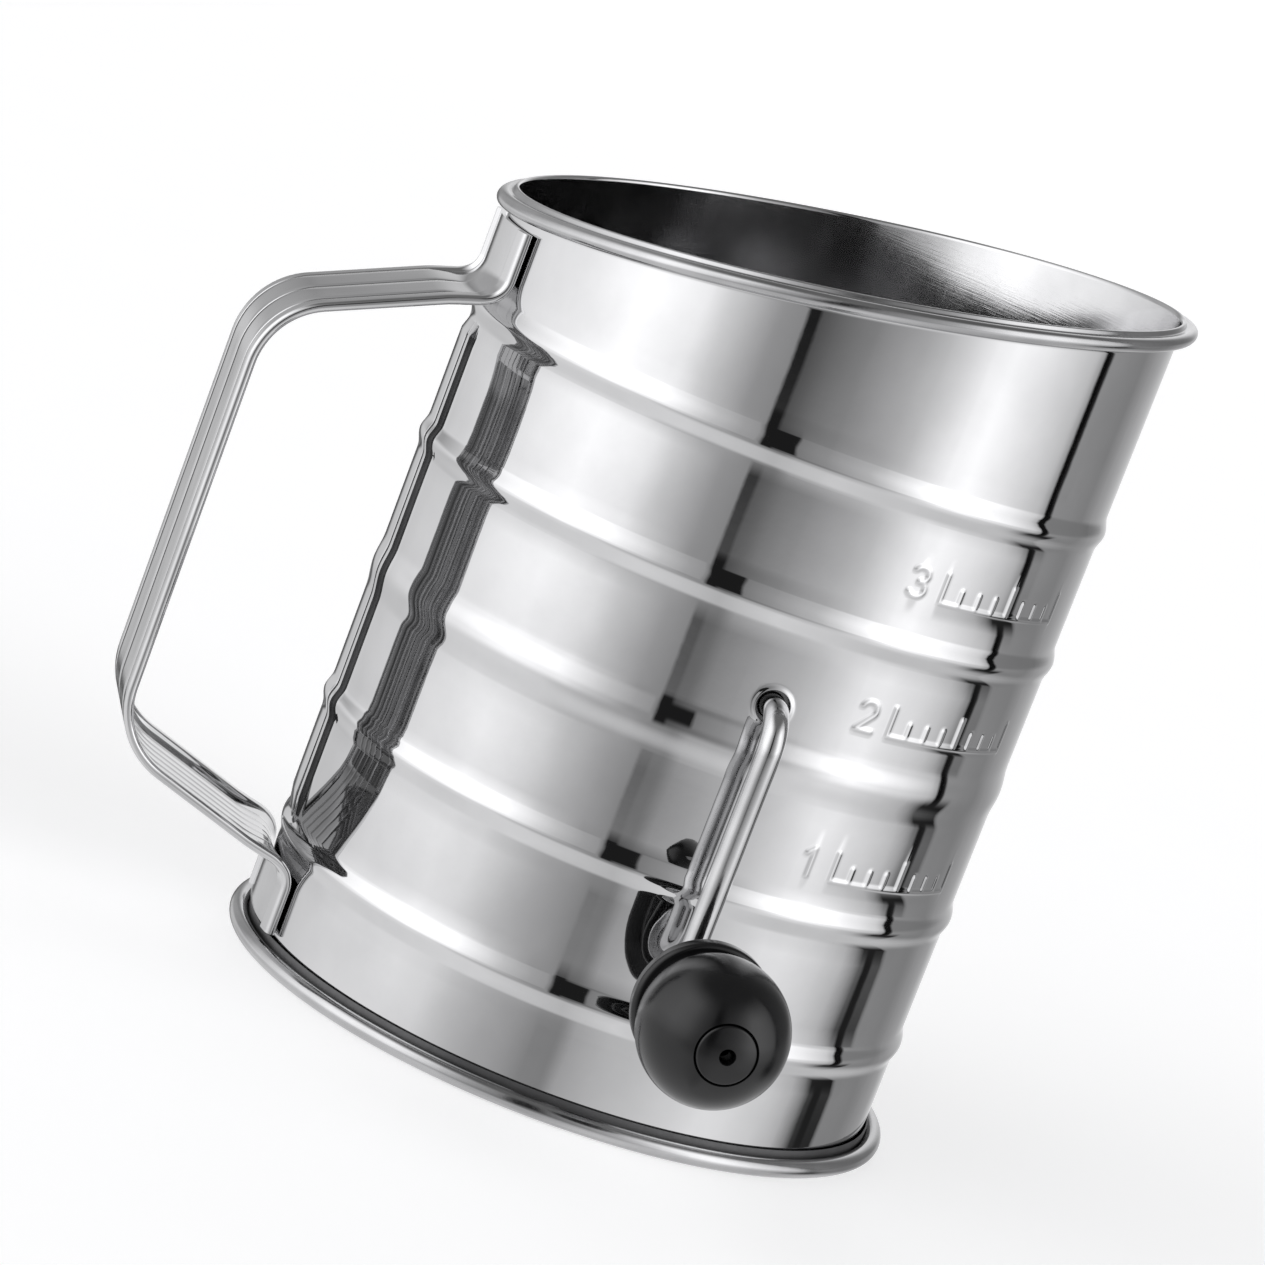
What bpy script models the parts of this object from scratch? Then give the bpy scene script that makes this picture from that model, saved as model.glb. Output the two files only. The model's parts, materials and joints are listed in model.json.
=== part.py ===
"""Rotary crank flour sifter: a tin-shaped cup, a bowl screen and a crank-driven agitator.

Units are metres and +Z is up. The sifter stands on Z = 0, with the middle of its bounding
box over the origin. The handle points along -X and the crank along -Y. Every piece is a
child of an empty: "cup_axis" on the axis of the cup, "crank_axis" on the shaft, and
"knob_axis" on the pin that the knob turns on.
"""

import math

import bmesh
import bpy
from mathutils import Matrix, Vector

MM = 0.001

# ---------------------------------------------------------------- driving dimensions
GAP = 0.3 * MM  # clearance between two pieces that touch
SEGMENTS = 48  # facets round the cup and everything concentric with it

# Cup: one rolled sheet with five swaged ribs and a curled, slanted mouth
CUP_R = 54.0 * MM
SHEET = 0.5 * MM
CUP_BOTTOM = 0.9 * MM
RIB_COUNT = 5
RIB_FIRST_Z = 19.0 * MM
RIB_PITCH = 22.7 * MM
RIB_HEIGHT = 0.8 * MM
RIB_WIDTH = 6.0 * MM
SEAT_RIB = 2  # this rib, counted from the bottom, is the wide one that the screen sits in
SEAT_RIB_WIDTH = 9.4 * MM
MOUTH_Z = 137.0 * MM  # top of the rolled rim on the cup's axis
MOUTH_TILT = math.radians(9.5)  # low at the handle, high opposite it
CURL_R = 1.5 * MM
CURL_CENTRE_R = 55.2 * MM
CURL_START = -100.0  # degrees round the curl, from where the wall runs into it
CURL_END = 100.0
RIM_RIDGE = 1.1 * MM  # the inner edge of the rim stands this far above the top of the roll
PLAIN_TOP_Z = MOUTH_Z - 3.0 * CURL_R  # the wall is straight up to here, and the slant is full

# Base ring under the cup
BASE_R = 57.6 * MM
BASE_BEAD_R = 1.5 * MM
BASE_INNER_R = 52.0 * MM
BASE_FLANGE = 0.6 * MM
BASE_SKIRT_TOP = 3.9 * MM
BASE_SKIRT = 0.4 * MM

# Handle: one stamped strip with rolled lips, seated on the cup at both ends
GRIP_X = -87.2 * MM  # middle of the strip's thickness along the grip
HANDLE_TOP = 124.0 * MM
HANDLE_BOTTOM = 4.4 * MM
UPPER_ARM_SLOPE = 0.42
LOWER_ARM_SLOPE = 0.36
UPPER_ARM_WALL_Z = 113.0 * MM
LOWER_ARM_WALL_Z = 15.4 * MM
GRIP_CORNER_R = 13.0 * MM
LEG_CORNER_R = 5.0 * MM
STRIP_WIDTH = 30.0 * MM
STRIP_DEPTH = 1.6 * MM  # over the rolled lips
STRIP_SHEET = 0.7 * MM
LIP_WIDTH = 3.6 * MM
GROOVE_DEPTH = 0.3 * MM
GROOVE_HALF_WIDTH = 0.7 * MM
SEATED_REACH = 7.0 * MM  # the strip changes from curved seat to free arm over this distance

# Screen and the two rings that hold it in the wide rib
SHAFT_Z = 72.7 * MM
SCREEN_R = 49.3 * MM
SCREEN_SHEET = 0.6 * MM
SCREEN_FLANGE_TOP = 64.7 * MM
SCREEN_EDGE_R = 53.8 * MM
SCREEN_RING_INNER_R = 50.9 * MM
SCREEN_RING_HEIGHT = 1.5 * MM

# Crank: one bent rod that is shaft, arm and pin
ROD_R = 2.0 * MM
SHAFT_HOLE_R = 2.75 * MM
SHAFT_REAR_Y = 58.6 * MM
ARM_Y = -61.3 * MM
CRANK_THROW = 42.3 * MM
SHAFT_BEND_R = 6.0 * MM
PIN_BEND_R = 4.5 * MM

# Agitator
AGITATOR_R = 47.5 * MM
AGITATOR_WIRE_R = 0.9 * MM
AGITATOR_WIRES = 4
AGITATOR_FIRST_ANGLE = math.radians(45.0)
HUB_R = 6.0 * MM
HUB_OUTER_Y = 49.0 * MM
HUB_LENGTH = 4.0 * MM
WIRE_END_R = HUB_R + GAP + 0.2 * MM  # the wires end this far from the shaft

# Washers, nut and retainers on the rod
WASHER_R = 5.0 * MM
WASHER_THICK = 0.8 * MM
WASHER_OUTER_Y = 52.8 * MM
NUT_R = 5.0 * MM
NUT_START_Y = 54.6 * MM
NUT_LENGTH = 1.8 * MM
NUT_RIM = 0.7 * MM
STOP_WASHER_R = 4.0 * MM
RETAINER_R = 4.3 * MM
RETAINER_THICK = 1.0 * MM

# Knob: a ball with a flange and a neck behind it, and a plug in its nose
KNOB_Y = -87.0 * MM  # centre of the ball
KNOB_R = 11.5 * MM
KNOB_NECK_R = 5.5 * MM
KNOB_BACK = -19.8 * MM  # measured from the centre of the ball, positive towards the nose
FLANGE_R = 10.8 * MM
FLANGE_BACK = -11.0 * MM
FLANGE_FRONT = -8.0 * MM
KNOB_EDGE = 0.9 * MM  # size of the rounded corners behind the ball
KNOB_SEAM_R = 9.0 * MM  # the ball meets the flange at this radius
KNOB_BORE_R = 2.35 * MM
KNOB_POCKET_R = 4.7 * MM
KNOB_POCKET_FLOOR = 4.0 * MM
PIN_END = 6.0 * MM
PLUG_BACK = 7.4 * MM
PLUG_HOLE_R = 1.15 * MM
PLUG_R = KNOB_POCKET_R - GAP

# Place of the cup's axis that puts the bounding box over the origin
KNOB_NOSE_Y = KNOB_Y - math.sqrt(KNOB_R**2 - PLUG_HOLE_R**2)
CUP_X = (STRIP_DEPTH / 2 - GRIP_X - BASE_R) / 2
CUP_Y = -(KNOB_NOSE_Y + SHAFT_REAR_Y) / 2


# ---------------------------------------------------------------- helpers
def clear_scene():
    for obj in list(bpy.data.objects):
        bpy.data.objects.remove(obj)


def make_material(name, colour, roughness, metallic):
    material = bpy.data.materials.new(name)
    material.use_nodes = True
    shader = material.node_tree.nodes["Principled BSDF"]
    shader.inputs["Base Color"].default_value = (*colour, 1.0)
    shader.inputs["Roughness"].default_value = roughness
    shader.inputs["Metallic"].default_value = metallic
    material.diffuse_color = (*colour, 1.0)
    return material


def make_empty(name, location, parent=None):
    empty = bpy.data.objects.new(name, None)
    empty.empty_display_size = 0.01
    empty.location = location
    empty.parent = parent
    bpy.context.scene.collection.objects.link(empty)
    return empty


def add_object(name, bm, material, parent):
    """Turns a bmesh into a smooth-shaded object whose faces point outwards."""
    bmesh.ops.recalc_face_normals(bm, faces=bm.faces)
    mesh = bpy.data.meshes.new(name)
    bm.to_mesh(mesh)
    bm.free()
    mesh.materials.append(material)
    mesh.shade_smooth()
    mesh.set_sharp_from_angle(angle=math.radians(35.0))
    obj = bpy.data.objects.new(name, mesh)
    obj.parent = parent
    bpy.context.scene.collection.objects.link(obj)
    return obj


def arc(centre, radius, start, end, steps):
    """Points on a circle in two dimensions, from the start angle to the end one, in degrees."""
    points = []
    for i in range(steps + 1):
        angle = math.radians(start + (end - start) * i / steps)
        points.append((centre[0] + radius * math.cos(angle), centre[1] + radius * math.sin(angle)))
    return points


def rounded_path(corners, radii, steps):
    """The 2-D polyline through the corners, each inner corner replaced with an arc."""
    points = [Vector(corners[0])]
    for i, radius in enumerate(radii, start=1):
        corner = Vector(corners[i])
        back = (Vector(corners[i - 1]) - corner).normalized()
        ahead = (Vector(corners[i + 1]) - corner).normalized()
        half = back.angle(ahead) / 2
        centre = corner + (back + ahead).normalized() * radius / math.sin(half)
        first = corner + back * radius / math.tan(half)
        last = corner + ahead * radius / math.tan(half)
        swing = (first - centre).angle_signed(last - centre)
        for step in range(steps + 1):
            turn = Matrix.Rotation(-swing * step / steps, 2)
            points.append(centre + turn @ (first - centre))
    points.append(Vector(corners[-1]))
    return points


def revolve(outline, segments=SEGMENTS, closed=True, lift=None):
    """Spins an outline of (radius, height) points about Z. A point on the axis stays single."""
    bm = bmesh.new()
    rings = []
    for radius, height in outline:
        ring = []
        for i in range(segments):
            if radius < 1e-9 and ring:
                ring.append(ring[0])
                continue
            angle = math.tau * i / segments
            x = radius * math.cos(angle)
            y = radius * math.sin(angle)
            z = height + (lift(x, height) if lift else 0.0)
            ring.append(bm.verts.new((x, y, z)))
        rings.append(ring)
    pairs = list(zip(rings, rings[1:]))
    if closed:
        pairs.append((rings[-1], rings[0]))
    for lower, upper in pairs:
        for i in range(segments):
            j = (i + 1) % segments
            corners = []
            for vert in (lower[i], lower[j], upper[j], upper[i]):
                if vert not in corners:
                    corners.append(vert)
            bm.faces.new(corners)
    return bm


def turned_piece(name, outline, material, parent, y=0.0, segments=24):
    """A piece turned about the rod: outline heights run along -Y from the given place."""
    bm = revolve(outline, segments)
    bmesh.ops.transform(bm, matrix=Matrix.Rotation(math.radians(90.0), 4, "X"), verts=bm.verts)
    bmesh.ops.translate(bm, vec=(0.0, y, 0.0), verts=bm.verts)
    return add_object(name, bm, material, parent)


def tube_outline(inner, outer, low, high):
    return [(inner, low), (outer, low), (outer, high), (inner, high)]


def loft(sections):
    """A closed body through sections that all have the same number of points."""
    bm = bmesh.new()
    rings = [[bm.verts.new(point) for point in section] for section in sections]
    count = len(rings[0])
    for one, two in zip(rings, rings[1:]):
        for i in range(count):
            j = (i + 1) % count
            bm.faces.new((one[i], one[j], two[j], two[i]))
    bm.faces.new(rings[0])
    bm.faces.new(rings[-1])
    return bm


def rod_sections(path, radius, sides, plane_normal):
    """Circles of a round rod whose path lies in the plane with the given normal."""
    sections = []
    for i, point in enumerate(path):
        before = path[max(i - 1, 0)]
        after = path[min(i + 1, len(path) - 1)]
        across = (after - before).normalized().cross(plane_normal)
        section = []
        for side in range(sides):
            angle = math.tau * side / sides
            section.append(point + radius * (math.cos(angle) * plane_normal + math.sin(angle) * across))
        sections.append(section)
    return sections


# ---------------------------------------------------------------- cup and base
def rib_heights():
    return [RIB_FIRST_Z + RIB_PITCH * i for i in range(RIB_COUNT)]


def wall_profile(radius):
    """The wall from the bottom upwards at this radius, stepping out over each rib."""
    points = [(radius, CUP_BOTTOM)]
    for i, z in enumerate(rib_heights()):
        width = SEAT_RIB_WIDTH if i == SEAT_RIB else RIB_WIDTH
        points.append((radius, z - width / 2))
        points.append((radius + RIB_HEIGHT, z - width / 6))
        points.append((radius + RIB_HEIGHT, z + width / 6))
        points.append((radius, z + width / 2))
    return points


def mouth_lift(x, z):
    """How far the slanted mouth raises a point of the cup above the last rib."""
    start = rib_heights()[-1] + RIB_WIDTH
    share = (z - start) / (PLAIN_TOP_Z - start)
    return x * math.tan(MOUTH_TILT) * min(max(share, 0.0), 1.0)


def build_cup(steel, cup_axis):
    curl_z = MOUTH_Z - CURL_R
    start = rib_heights()[-1] + RIB_WIDTH
    curl = arc((CURL_CENTRE_R, curl_z), CURL_R, CURL_START, CURL_END, 7)
    outer = wall_profile(CUP_R) + [(CUP_R, start), (CUP_R, PLAIN_TOP_Z), (CUP_R, curl_z - 0.6 * CURL_R)]
    ridge = [
        (CUP_R + SHEET, MOUTH_Z + 0.2 * RIM_RIDGE),
        (CUP_R + 0.6 * SHEET, MOUTH_Z + 0.75 * RIM_RIDGE),
        (CUP_R - 0.2 * SHEET, MOUTH_Z + RIM_RIDGE),
        (CUP_R - SHEET, MOUTH_Z + 0.7 * RIM_RIDGE),
    ]
    inner = wall_profile(CUP_R - SHEET) + [(CUP_R - SHEET, start), (CUP_R - SHEET, curl_z)]
    outline = outer + curl + ridge + inner[::-1]
    cup = add_object("body_shell", revolve(outline, lift=mouth_lift), steel, cup_axis)

    bm = bmesh.new()
    bmesh.ops.create_cone(
        bm, cap_ends=True, segments=24, radius1=SHAFT_HOLE_R, radius2=SHAFT_HOLE_R, depth=2.4 * CUP_R
    )
    bmesh.ops.transform(bm, matrix=Matrix.Rotation(math.radians(90.0), 4, "X"), verts=bm.verts)
    cutter = add_object("shaft_hole_cutter", bm, steel, cup_axis)
    cutter.location = (0.0, 0.0, SHAFT_Z)
    cutter.hide_render = True
    cutter.display_type = "WIRE"
    holes = cup.modifiers.new("shaft_holes", "BOOLEAN")
    holes.operation = "DIFFERENCE"
    holes.solver = "EXACT"
    holes.object = cutter


def build_base_ring(steel, cup_axis):
    bead_r = BASE_R - BASE_BEAD_R
    skirt_in = CUP_R + GAP
    skirt_out = skirt_in + BASE_SKIRT
    outline = [(BASE_INNER_R, 0.0)]
    outline += arc((bead_r, BASE_BEAD_R), BASE_BEAD_R, -90.0, 110.0, 5)
    outline += [
        (skirt_out + BASE_SKIRT, 2.0 * BASE_BEAD_R),
        (skirt_out, BASE_SKIRT_TOP),
        (skirt_in, BASE_SKIRT_TOP),
        (skirt_in, BASE_FLANGE),
        (BASE_INNER_R, BASE_FLANGE),
    ]
    add_object("base_ring", revolve(outline), steel, cup_axis)


# ---------------------------------------------------------------- handle
def handle_half_section():
    """(across, free, seated) points of half the strip, from its middle to its edge and back.

    free is the height on the arms and the grip, where the panel is level with the lips, and
    seated the height on the legs, where the panel is pressed down on to the cup.
    """
    half = STRIP_WIDTH / 2
    top = STRIP_DEPTH / 2
    lip = half - LIP_WIDTH
    groove = top - GROOVE_DEPTH
    seat_top = STRIP_SHEET - top
    outer = [
        (0.0, groove, seat_top),
        (GROOVE_HALF_WIDTH, top, seat_top),
        (lip / 2, top, seat_top),
        (lip - GROOVE_HALF_WIDTH, top, seat_top),
        (lip, groove, seat_top),
        (lip + GROOVE_HALF_WIDTH, top, top),
    ]
    edge = [(x, z, z) for x, z in arc((half - top, 0.0), top, 90.0, -90.0, 4)]
    under = top - STRIP_SHEET
    inner = [(lip + GROOVE_HALF_WIDTH, -top, -top)]
    inner += [(across, under, -top) for across in (lip - GROOVE_HALF_WIDTH, lip / 2, 0.0)]
    return outer + edge + inner


def handle_section(place, outward, seated):
    """One section of the strip in the XZ plane's frame, bent to the cup's curve where seated."""
    seat_r = CUP_R + GAP + STRIP_DEPTH / 2
    right = handle_half_section()
    left = [(-x, free, down) for x, free, down in reversed(right) if x > 0.0]
    section = []
    for across, free, down in right + left:
        middle = place + outward * (free + (down - free) * seated)
        towards_cup = (seat_r - math.sqrt(seat_r**2 - across**2)) * seated
        section.append(Vector((middle.x + towards_cup, across, middle.y)))
    return section


def build_handle(steel, cup_axis):
    wall_x = -(CUP_R + GAP + STRIP_DEPTH / 2)
    reach = wall_x - GRIP_X
    corners = [
        (wall_x, HANDLE_TOP),
        (wall_x, UPPER_ARM_WALL_Z),
        (GRIP_X, UPPER_ARM_WALL_Z - UPPER_ARM_SLOPE * reach),
        (GRIP_X, LOWER_ARM_WALL_Z + LOWER_ARM_SLOPE * reach),
        (wall_x, LOWER_ARM_WALL_Z),
        (wall_x, HANDLE_BOTTOM),
    ]
    path = rounded_path(corners, [LEG_CORNER_R, GRIP_CORNER_R, GRIP_CORNER_R, LEG_CORNER_R], 6)
    sections = []
    for i, place in enumerate(path):
        along = (path[min(i + 1, len(path) - 1)] - path[max(i - 1, 0)]).normalized()
        outward = Vector((along.y, -along.x))
        away = (wall_x - place.x) / SEATED_REACH
        seated = 1.0 - min(max(away, 0.0), 1.0)
        sections.append(handle_section(place, outward, seated))
    add_object("handle", loft(sections), steel, cup_axis)


# ---------------------------------------------------------------- screen
def build_screen(mesh_steel, steel, cup_axis):
    outer_r = SCREEN_R + SCREEN_SHEET
    flange_low = SCREEN_FLANGE_TOP - SCREEN_SHEET
    outer_end = math.degrees(math.asin((flange_low - SHAFT_Z) / outer_r))
    inner_end = math.degrees(math.asin((SCREEN_FLANGE_TOP - SHAFT_Z) / SCREEN_R))
    outside = arc((0.0, SHAFT_Z), outer_r, -90.0, outer_end, 8)
    inside = arc((0.0, SHAFT_Z), SCREEN_R, inner_end, -90.0, 8)
    outside[0] = (0.0, SHAFT_Z - outer_r)
    inside[-1] = (0.0, SHAFT_Z - SCREEN_R)
    flange = [(SCREEN_EDGE_R, flange_low), (SCREEN_EDGE_R, SCREEN_FLANGE_TOP)]
    add_object("screen", revolve(outside + flange + inside, closed=False), mesh_steel, cup_axis)

    rings = {
        "screen_rim": flange_low - GAP - SCREEN_RING_HEIGHT,
        "screen_retainer": SCREEN_FLANGE_TOP + GAP,
    }
    for name, low in rings.items():
        outline = tube_outline(SCREEN_RING_INNER_R, SCREEN_EDGE_R, low, low + SCREEN_RING_HEIGHT)
        add_object(name, revolve(outline), steel, cup_axis)


# ---------------------------------------------------------------- crank and agitator
def build_crank_rod(steel, crank_axis):
    corners = [
        (SHAFT_REAR_Y, 0.0),
        (ARM_Y, 0.0),
        (ARM_Y, -CRANK_THROW),
        (KNOB_Y - PIN_END, -CRANK_THROW),
    ]
    flat = rounded_path(corners, [SHAFT_BEND_R, PIN_BEND_R], 6)
    path = [Vector((0.0, point.x, point.y)) for point in flat]
    sections = rod_sections(path, ROD_R, 12, Vector((1.0, 0.0, 0.0)))
    add_object("crank_rod", loft(sections), steel, crank_axis)


def build_agitator(steel, crank_axis):
    bore = ROD_R + GAP
    hub = tube_outline(bore, HUB_R, 0.0, HUB_LENGTH)
    turned_piece("agitator_hub_front", hub, steel, crank_axis, HUB_LENGTH - HUB_OUTER_Y)
    turned_piece("agitator_hub_rear", hub, steel, crank_axis, HUB_OUTER_Y)

    first = math.degrees(math.acos(WIRE_END_R / AGITATOR_R))
    profile = arc((0.0, 0.0), AGITATOR_R, -first, first, 16)
    for i in range(AGITATOR_WIRES):
        angle = AGITATOR_FIRST_ANGLE + math.tau * i / AGITATOR_WIRES
        out = Vector((math.cos(angle), 0.0, math.sin(angle)))
        path = [out * radius + Vector((0.0, y, 0.0)) for radius, y in profile]
        normal = out.cross(Vector((0.0, 1.0, 0.0)))
        sections = rod_sections(path, AGITATOR_WIRE_R, 8, normal)
        add_object(f"agitator_wire_{i + 1}", loft(sections), steel, crank_axis)


def build_rod_fittings(steel, crank_axis):
    bore = ROD_R + GAP
    washer = tube_outline(bore, WASHER_R, 0.0, WASHER_THICK)
    turned_piece("front_washer", washer, steel, crank_axis, WASHER_THICK - WASHER_OUTER_Y)
    turned_piece("rear_washer", washer, steel, crank_axis, WASHER_OUTER_Y)

    nut = [
        (bore, 0.0),
        (bore + NUT_RIM, 0.0),
        (NUT_R, NUT_LENGTH - NUT_RIM),
        (NUT_R, NUT_LENGTH),
        (bore, NUT_LENGTH),
    ]
    turned_piece("rear_push_nut", nut, steel, crank_axis, NUT_START_Y + NUT_LENGTH)


def build_pin_fittings(steel, crank_axis):
    """The stop washer behind the knob and the retainer inside it, both fixed on the pin."""
    bore = ROD_R + GAP
    stop_back = KNOB_BACK - GAP - WASHER_THICK
    fittings = {
        "knob_stop_washer": (STOP_WASHER_R, stop_back, WASHER_THICK),
        "pin_retainer": (RETAINER_R, KNOB_POCKET_FLOOR + GAP, RETAINER_THICK),
    }
    for name, (radius, low, thick) in fittings.items():
        outline = tube_outline(bore, radius, low, low + thick)
        piece = turned_piece(name, outline, steel, crank_axis, KNOB_Y)
        piece.location.z = -CRANK_THROW


# ---------------------------------------------------------------- knob
def build_knob(black, knob_axis):
    edge = KNOB_EDGE
    ball_start = -math.degrees(math.acos(KNOB_SEAM_R / KNOB_R))
    ball_end = math.degrees(math.acos(KNOB_POCKET_R / KNOB_R))
    outline = [
        (KNOB_BORE_R, KNOB_BACK),
        (KNOB_NECK_R - edge / 2, KNOB_BACK),
        (KNOB_NECK_R, KNOB_BACK + edge / 2),
        (KNOB_NECK_R, FLANGE_BACK - edge),
        (KNOB_NECK_R + edge, FLANGE_BACK),
        (FLANGE_R - edge, FLANGE_BACK),
        (FLANGE_R, FLANGE_BACK + edge),
        (FLANGE_R, FLANGE_FRONT - edge),
        (FLANGE_R - edge, FLANGE_FRONT),
        (KNOB_SEAM_R - edge, FLANGE_FRONT),
    ]
    outline += arc((0.0, 0.0), KNOB_R, ball_start, ball_end, 12)
    outline += [(KNOB_POCKET_R, KNOB_POCKET_FLOOR), (KNOB_BORE_R, KNOB_POCKET_FLOOR)]
    turned_piece("knob", outline, black, knob_axis)

    dome_start = math.degrees(math.acos(PLUG_R / KNOB_R))
    dome_end = math.degrees(math.acos(PLUG_HOLE_R / KNOB_R))
    plug = [(PLUG_HOLE_R, PLUG_BACK), (PLUG_R, PLUG_BACK)]
    plug += arc((0.0, 0.0), KNOB_R, dome_start, dome_end, 3)
    turned_piece("knob_plug", plug, black, knob_axis)


# ---------------------------------------------------------------- assembly
def main():
    clear_scene()
    polished = make_material("polished_steel", (0.82, 0.82, 0.83), 0.08, 1.0)
    wire = make_material("wire_steel", (0.72, 0.72, 0.73), 0.22, 1.0)
    woven = make_material("woven_steel", (0.60, 0.60, 0.61), 0.35, 1.0)
    black = make_material("black_plastic", (0.012, 0.012, 0.013), 0.28, 0.0)

    cup_axis = make_empty("cup_axis", (CUP_X, CUP_Y, 0.0))
    crank_axis = make_empty("crank_axis", (0.0, 0.0, SHAFT_Z), cup_axis)
    knob_axis = make_empty("knob_axis", (0.0, KNOB_Y, -CRANK_THROW), crank_axis)

    build_cup(polished, cup_axis)
    build_base_ring(polished, cup_axis)
    build_handle(polished, cup_axis)
    build_screen(woven, wire, cup_axis)
    build_crank_rod(wire, crank_axis)
    build_agitator(wire, crank_axis)
    build_rod_fittings(wire, crank_axis)
    build_pin_fittings(wire, crank_axis)
    build_knob(black, knob_axis)


main()
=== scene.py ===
"""Looks of the rotary crank flour sifter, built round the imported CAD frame.

Lengths inside the script are millimetres in the cup's own frame: the origin is on the axis of
the cup at table height, -X points to the handle, -Y to the crank, and angles round the cup run
from -Y towards +X. Meshes are moved to the row frame, in metres, as they are made.
"""

import json
import math

import bmesh
import bpy
from mathutils import Matrix, Vector


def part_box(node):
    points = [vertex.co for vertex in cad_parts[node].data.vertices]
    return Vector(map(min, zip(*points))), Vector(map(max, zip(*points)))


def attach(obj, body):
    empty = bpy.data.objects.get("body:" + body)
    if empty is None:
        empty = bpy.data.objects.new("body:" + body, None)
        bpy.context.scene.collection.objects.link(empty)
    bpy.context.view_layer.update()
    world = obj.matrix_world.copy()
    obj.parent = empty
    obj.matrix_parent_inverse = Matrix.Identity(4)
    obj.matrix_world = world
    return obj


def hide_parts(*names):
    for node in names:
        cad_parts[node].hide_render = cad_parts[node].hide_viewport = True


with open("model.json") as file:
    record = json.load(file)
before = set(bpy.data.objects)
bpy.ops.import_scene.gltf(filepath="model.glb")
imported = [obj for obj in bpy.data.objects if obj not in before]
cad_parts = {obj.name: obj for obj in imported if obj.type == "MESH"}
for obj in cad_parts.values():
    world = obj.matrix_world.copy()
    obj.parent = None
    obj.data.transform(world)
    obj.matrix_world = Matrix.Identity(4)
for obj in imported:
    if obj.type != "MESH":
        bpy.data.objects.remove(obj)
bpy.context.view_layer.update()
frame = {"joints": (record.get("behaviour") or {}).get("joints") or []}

MM = 0.001


# ---------------------------------------------------------------- places taken from the frame
def joint_place(name):
    return Vector(next(j["pos_m"] for j in frame["joints"] if j["name"] == name))


def middle_of(node):
    low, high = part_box(node)
    return (low + high) / 2


CUP_AXIS = Vector((middle_of("base_ring").x, middle_of("base_ring").y, 0.0))


def to_cup(point):
    """A row-frame point in metres as a cup-frame point in millimetres."""
    return (Vector(point) - CUP_AXIS) / MM


def cup_box(node):
    low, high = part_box(node)
    return to_cup(low), to_cup(high)


SHAFT_Z = to_cup(joint_place("crank_turn")).z
PIN_Z = to_cup(joint_place("knob_spin")).z
KNOB_Y = to_cup(joint_place("knob_spin")).y
ROD_LOW, ROD_HIGH = cup_box("crank_rod")
ROD_R = (ROD_HIGH.x - ROD_LOW.x) / 2
BASE_R = cup_box("base_ring")[1].x
BASE_TOP = cup_box("base_ring")[1].z
HANDLE_LOW, HANDLE_HIGH = cup_box("handle")
SCREEN_EDGE_R = cup_box("screen")[1].x
SCREEN_FLANGE_TOP = cup_box("screen")[1].z

# ---------------------------------------------------------------- sizes
GAP = 0.3

# Cup
CUP_R = 54.0
SHEET = 0.5
CUP_BOTTOM = cup_box("body_shell")[0].z
RIB_COUNT = 5
RIB_FIRST_Z = 19.0
RIB_PITCH = 22.7
RIB_HEIGHT = 0.71
RIB_WIDTH = 6.0
SEAT_RIB = 2
SEAT_RIB_WIDTH = 9.4
SEAT_RIB_HEIGHT = 0.46
CURL_R = 1.2
CURL_CENTRE_R = cup_box("body_shell")[1].x - CURL_R
MOUTH_TILT = math.radians(9.5)
CAD_RIDGE = 1.1
RIM_RIDGE = 0.75
RIDGE_R = CUP_R - 0.2 * SHEET
MOUTH_Z = cup_box("body_shell")[1].z - CAD_RIDGE - RIDGE_R * math.tan(MOUTH_TILT)
PLAIN_TOP_Z = MOUTH_Z - 4.5
NECK_Z = MOUTH_Z - 2.6
LAST_RIB_TOP = RIB_FIRST_Z + RIB_PITCH * (RIB_COUNT - 1) + RIB_WIDTH

# Spacing of the wall's grid: degrees round the wall, and millimetres between rows
ANGLE_STEP = 1.9
BESIDE_MARKS_ANGLE_STEP = 1.2
HOLE_ANGLE_STEP = 0.9
SEAM_ANGLE_STEP = 0.42
MARK_ANGLE_STEP = 0.34
MARK_ANGLE_MARGIN = 1.2
ROW_STEP = 3.0
INNER_ROW_STEP = 2.6
HOLE_ROW_STEP = 0.7
RIB_ROW_STEP = 0.5
MARK_ROW_STEP = 0.3
HOLE_RINGS = 12

# Lock seam of the wall, under the handle
SEAM_ANGLE = -90.0
SEAM_HALF = 5.2
SEAM_EDGE = 0.25
SEAM_HEIGHT = 0.8
SEAM_GROOVE = 0.4
# Half width of the bands along the seam's edge and groove that get painted shade
SEAM_SHADE_HALF = 0.34
SEAM_GROOVE_AT = 2.6
SEAM_LOW = 20.5
SEAM_HIGH = 107.5

# Shaft holes, each with its rim turned slightly outwards
HOLE_R = 2.75
HOLE_LIP = 0.22
HOLE_LIP_WIDTH = 0.8
HOLE_PATCH_HALF = 6.0
HOLE_PATCH_ANGLE = math.degrees(HOLE_PATCH_HALF / CUP_R)

# Level marks pressed out of the wall: a numeral and a graduated line
MARK_ANGLE = 14.5
MARK_HEIGHT = 4.7
MARK_RELIEF = 0.2
MARK_STROKE = 0.62
MARK_LEVELS = ((3, 97.8), (2, 75.6), (1, 51.2))
NUMERAL_WIDTH = 3.4
SCALE_START = 6.4
SCALE_LENGTH = 30.0
SCALE_TICKS = 9

# Base ring
BEAD_R = 1.5
FLANGE_IN_R = 52.0
FLANGE_THICK = 0.6

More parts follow.
